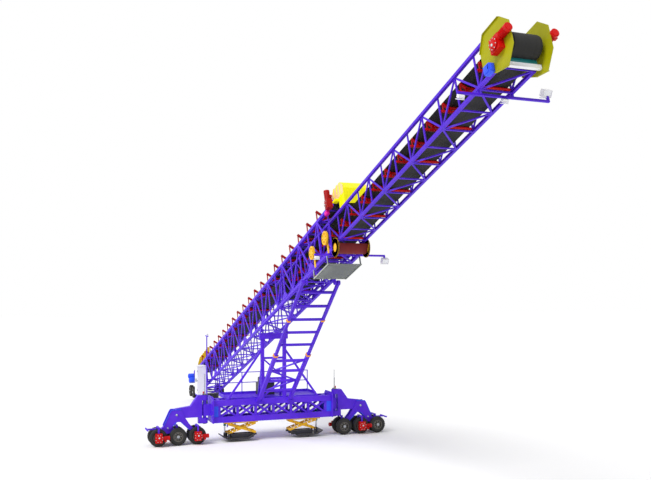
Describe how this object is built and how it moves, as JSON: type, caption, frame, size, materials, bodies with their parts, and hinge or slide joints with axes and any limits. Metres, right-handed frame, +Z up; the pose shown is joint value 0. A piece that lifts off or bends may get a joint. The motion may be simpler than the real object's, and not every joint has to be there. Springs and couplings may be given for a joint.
{
  "type": "radial telescopic conveyor",
  "caption": "Wheeled radial stacker with a luffing, telescoping lattice-truss belt conveyor, folding bogie arms, lifting feet and a slewing tail base.",
  "frame": {"origin": "slewing centre of the tail base, on the floor", "axes": "+X towards the discharge head, +Y to the left of travel, +Z up"},
  "size_m": [37.8609, 12.2, 13.993],
  "materials": {
    "frame_violet": "satin paint",
    "belt_rubber": "matt rubber",
    "idler_red": "satin paint",
    "drive_red": "gloss paint",
    "drum_steel": "dull steel",
    "signal_yellow": "satin paint",
    "olive_yellow": "satin paint",
    "cabinet_white": "satin paint",
    "guard_maroon": "satin paint",
    "bright_blue": "satin paint",
    "machine_grey": "satin paint",
    "cylinder_teal": "satin paint",
    "tyre_black": "matt rubber",
    "wheel_dark": "satin paint"
  },
  "bodies": {
    "undercarriage": {"cross_beam": "frame_violet", "hinge_boxes": "bright_blue", "tower": "frame_violet", "service_deck": "frame_violet", "power_pack": "machine_grey", "foot_carriers": "signal_yellow", "foot_cylinders": "cylinder_teal"},
    "boom": {"boom_truss": "frame_violet", "boom_belt": "belt_rubber", "boom_drums": "drum_steel", "boom_idlers": "idler_red", "boom_drives": "drive_red", "transfer_hood": "signal_yellow", "feed_hopper": "olive_yellow", "control_cabinet": "cabinet_white", "cabinet_frame": "frame_violet", "cable_sheaves": "signal_yellow", "front_guard": "guard_maroon", "front_platform": "frame_violet"},
    "inner_boom": {"inner_truss": "frame_violet", "inner_belt": "belt_rubber", "inner_idlers": "idler_red", "inner_drums": "drum_steel", "head_cheeks": "olive_yellow", "head_drives": "drive_red"},
    "tail_swivel": {"tail_block": "machine_grey"},
    "tail_foot": {"tail_base": "machine_grey"},
    "leg_lower": {"leg_lower": "frame_violet"},
    "leg_upper": {"leg_upper": "frame_violet"},
    "arm_left": {"swing_arm_left": "frame_violet", "wheel_drives_left": "drive_red"},
    "wheel_left_inner": {"wheel_left_inner_tyres": "tyre_black", "wheel_left_inner_hub": "wheel_dark"},
    "wheel_left_middle": {"wheel_left_middle_tyres": "tyre_black", "wheel_left_middle_hub": "wheel_dark"},
    "wheel_left_outer": {"wheel_left_outer_tyres": "tyre_black", "wheel_left_outer_hub": "wheel_dark"},
    "foot_link_a_left": {"foot_link_left_a": "signal_yellow"},
    "foot_link_b_left": {"foot_link_left_b": "signal_yellow"},
    "foot_pad_left": {"foot_pad_left": "machine_grey"},
    "foot_ram_left": {"foot_ram_left": "drum_steel"},
    "arm_right": {"swing_arm_right": "frame_violet", "wheel_drives_right": "drive_red"},
    "wheel_right_inner": {"wheel_right_inner_tyres": "tyre_black", "wheel_right_inner_hub": "wheel_dark"},
    "wheel_right_middle": {"wheel_right_middle_tyres": "tyre_black", "wheel_right_middle_hub": "wheel_dark"},
    "wheel_right_outer": {"wheel_right_outer_tyres": "tyre_black", "wheel_right_outer_hub": "wheel_dark"},
    "foot_link_a_right": {"foot_link_right_a": "signal_yellow"},
    "foot_link_b_right": {"foot_link_right_b": "signal_yellow"},
    "foot_pad_right": {"foot_pad_right": "machine_grey"},
    "foot_ram_right": {"foot_ram_right": "drum_steel"},
    "tail_wheels_front": {"tail_front_tyres": "tyre_black", "tail_front_hub": "wheel_dark"},
    "tail_wheels_rear": {"tail_rear_tyres": "tyre_black", "tail_rear_hub": "wheel_dark"}
  },
  "joints": [
    {"name": "luff", "type": "hinge", "parent": "undercarriage", "child": "boom", "pos_m": [13.65105, 0, 5.35045], "axis": [0, -1, 0], "range_deg": [-8, 0]},
    {"name": "extend", "type": "slide", "parent": "boom", "child": "inner_boom", "axis": [0.9478, 0, 0.319], "range_m": [-9.2, 0]},
    {"name": "tail_pitch", "type": "hinge", "parent": "boom", "child": "tail_swivel", "pos_m": [0, 0, 0.76691], "axis": [0, 1, 0], "range_deg": [-12, 12]},
    {"name": "tail_slew", "type": "hinge", "parent": "tail_swivel", "child": "tail_foot", "pos_m": [0, 0, 0], "axis": [0, 0, 1], "range_deg": [-135, 135]},
    {"name": "leg_tilt", "type": "hinge", "parent": "undercarriage", "child": "leg_lower", "pos_m": [13.85726, 0, 2.05], "axis": [0, -1, 0], "range_deg": [-6.22, 0]},
    {"name": "leg_slide", "type": "slide", "parent": "leg_lower", "child": "leg_upper", "axis": [0.7581, 0, 0.6522], "range_m": [-0.381, 0]},
    {"name": "swing_left", "type": "hinge", "parent": "undercarriage", "child": "arm_left", "pos_m": [13.23726, 3.33, 0], "axis": [0, 0, 1], "range_deg": [0, 90]},
    {"name": "spin_left_inner", "type": "hinge", "parent": "arm_left", "child": "wheel_left_inner", "pos_m": [13.23726, 3.74, 0.42], "axis": [1, 0, 0], "continuous": true},
    {"name": "spin_left_middle", "type": "hinge", "parent": "arm_left", "child": "wheel_left_middle", "pos_m": [13.23726, 4.66, 0.42], "axis": [1, 0, 0], "continuous": true},
    {"name": "spin_left_outer", "type": "hinge", "parent": "arm_left", "child": "wheel_left_outer", "pos_m": [13.23726, 5.58, 0.42], "axis": [1, 0, 0], "continuous": true},
    {"name": "foot_left", "type": "hinge", "parent": "undercarriage", "child": "foot_link_a_left", "pos_m": [13.23726, 2.2, 0.84], "axis": [-1, 0, 0], "range_deg": [-5.5, 12]},
    {"name": "foot_cross_left", "type": "hinge", "parent": "foot_link_a_left", "child": "foot_link_b_left", "pos_m": [13.23726, 1.55, 0.63], "axis": [-1, 0, 0], "range_deg": [-24, 11]},
    {"name": "foot_level_left", "type": "hinge", "parent": "foot_link_b_left", "child": "foot_pad_left", "pos_m": [13.23726, 2.2, 0.42], "axis": [-1, 0, 0], "range_deg": [-5.5, 12]},
    {"name": "foot_ram_left", "type": "slide", "parent": "undercarriage", "child": "foot_ram_left", "axis": [0, 0, 1], "range_m": [-0.127, 0.276]},
    {"name": "swing_right", "type": "hinge", "parent": "undercarriage", "child": "arm_right", "pos_m": [13.23726, -3.33, 0], "axis": [0, 0, -1], "range_deg": [0, 90]},
    {"name": "spin_right_inner", "type": "hinge", "parent": "arm_right", "child": "wheel_right_inner", "pos_m": [13.23726, -3.74, 0.42], "axis": [1, 0, 0], "continuous": true},
    {"name": "spin_right_middle", "type": "hinge", "parent": "arm_right", "child": "wheel_right_middle", "pos_m": [13.23726, -4.66, 0.42], "axis": [1, 0, 0], "continuous": true},
    {"name": "spin_right_outer", "type": "hinge", "parent": "arm_right", "child": "wheel_right_outer", "pos_m": [13.23726, -5.58, 0.42], "axis": [1, 0, 0], "continuous": true},
    {"name": "foot_right", "type": "hinge", "parent": "undercarriage", "child": "foot_link_a_right", "pos_m": [13.23726, -2.2, 0.84], "axis": [1, 0, 0], "range_deg": [-5.5, 12]},
    {"name": "foot_cross_right", "type": "hinge", "parent": "foot_link_a_right", "child": "foot_link_b_right", "pos_m": [13.23726, -1.55, 0.63], "axis": [1, 0, 0], "range_deg": [-24, 11]},
    {"name": "foot_level_right", "type": "hinge", "parent": "foot_link_b_right", "child": "foot_pad_right", "pos_m": [13.23726, -2.2, 0.42], "axis": [1, 0, 0], "range_deg": [-5.5, 12]},
    {"name": "foot_ram_right", "type": "slide", "parent": "undercarriage", "child": "foot_ram_right", "axis": [0, 0, 1], "range_m": [-0.127, 0.276]},
    {"name": "tail_spin_front", "type": "hinge", "parent": "boom", "child": "tail_wheels_front", "pos_m": [-1.36347, 0, 0.62036], "axis": [0, 1, 0], "continuous": true},
    {"name": "tail_spin_rear", "type": "hinge", "parent": "boom", "child": "tail_wheels_rear", "pos_m": [-2.31406, 0, 0.62015], "axis": [0, 1, 0], "continuous": true}
  ],
  "couplings": [
    {"joint": "leg_tilt", "follows": "luff", "ratio": 0.7755},
    {"joint": "leg_slide", "follows": "luff", "m_per_rad": 2.724},
    {"joint": "foot_cross_left", "follows": "foot_left", "ratio": -2},
    {"joint": "foot_level_left", "follows": "foot_left", "ratio": 1},
    {"joint": "foot_ram_left", "follows": "foot_left", "m_per_rad": 1.315},
    {"joint": "foot_cross_right", "follows": "foot_right", "ratio": -2},
    {"joint": "foot_level_right", "follows": "foot_right", "ratio": 1},
    {"joint": "foot_ram_right", "follows": "foot_right", "m_per_rad": 1.315}
  ]
}
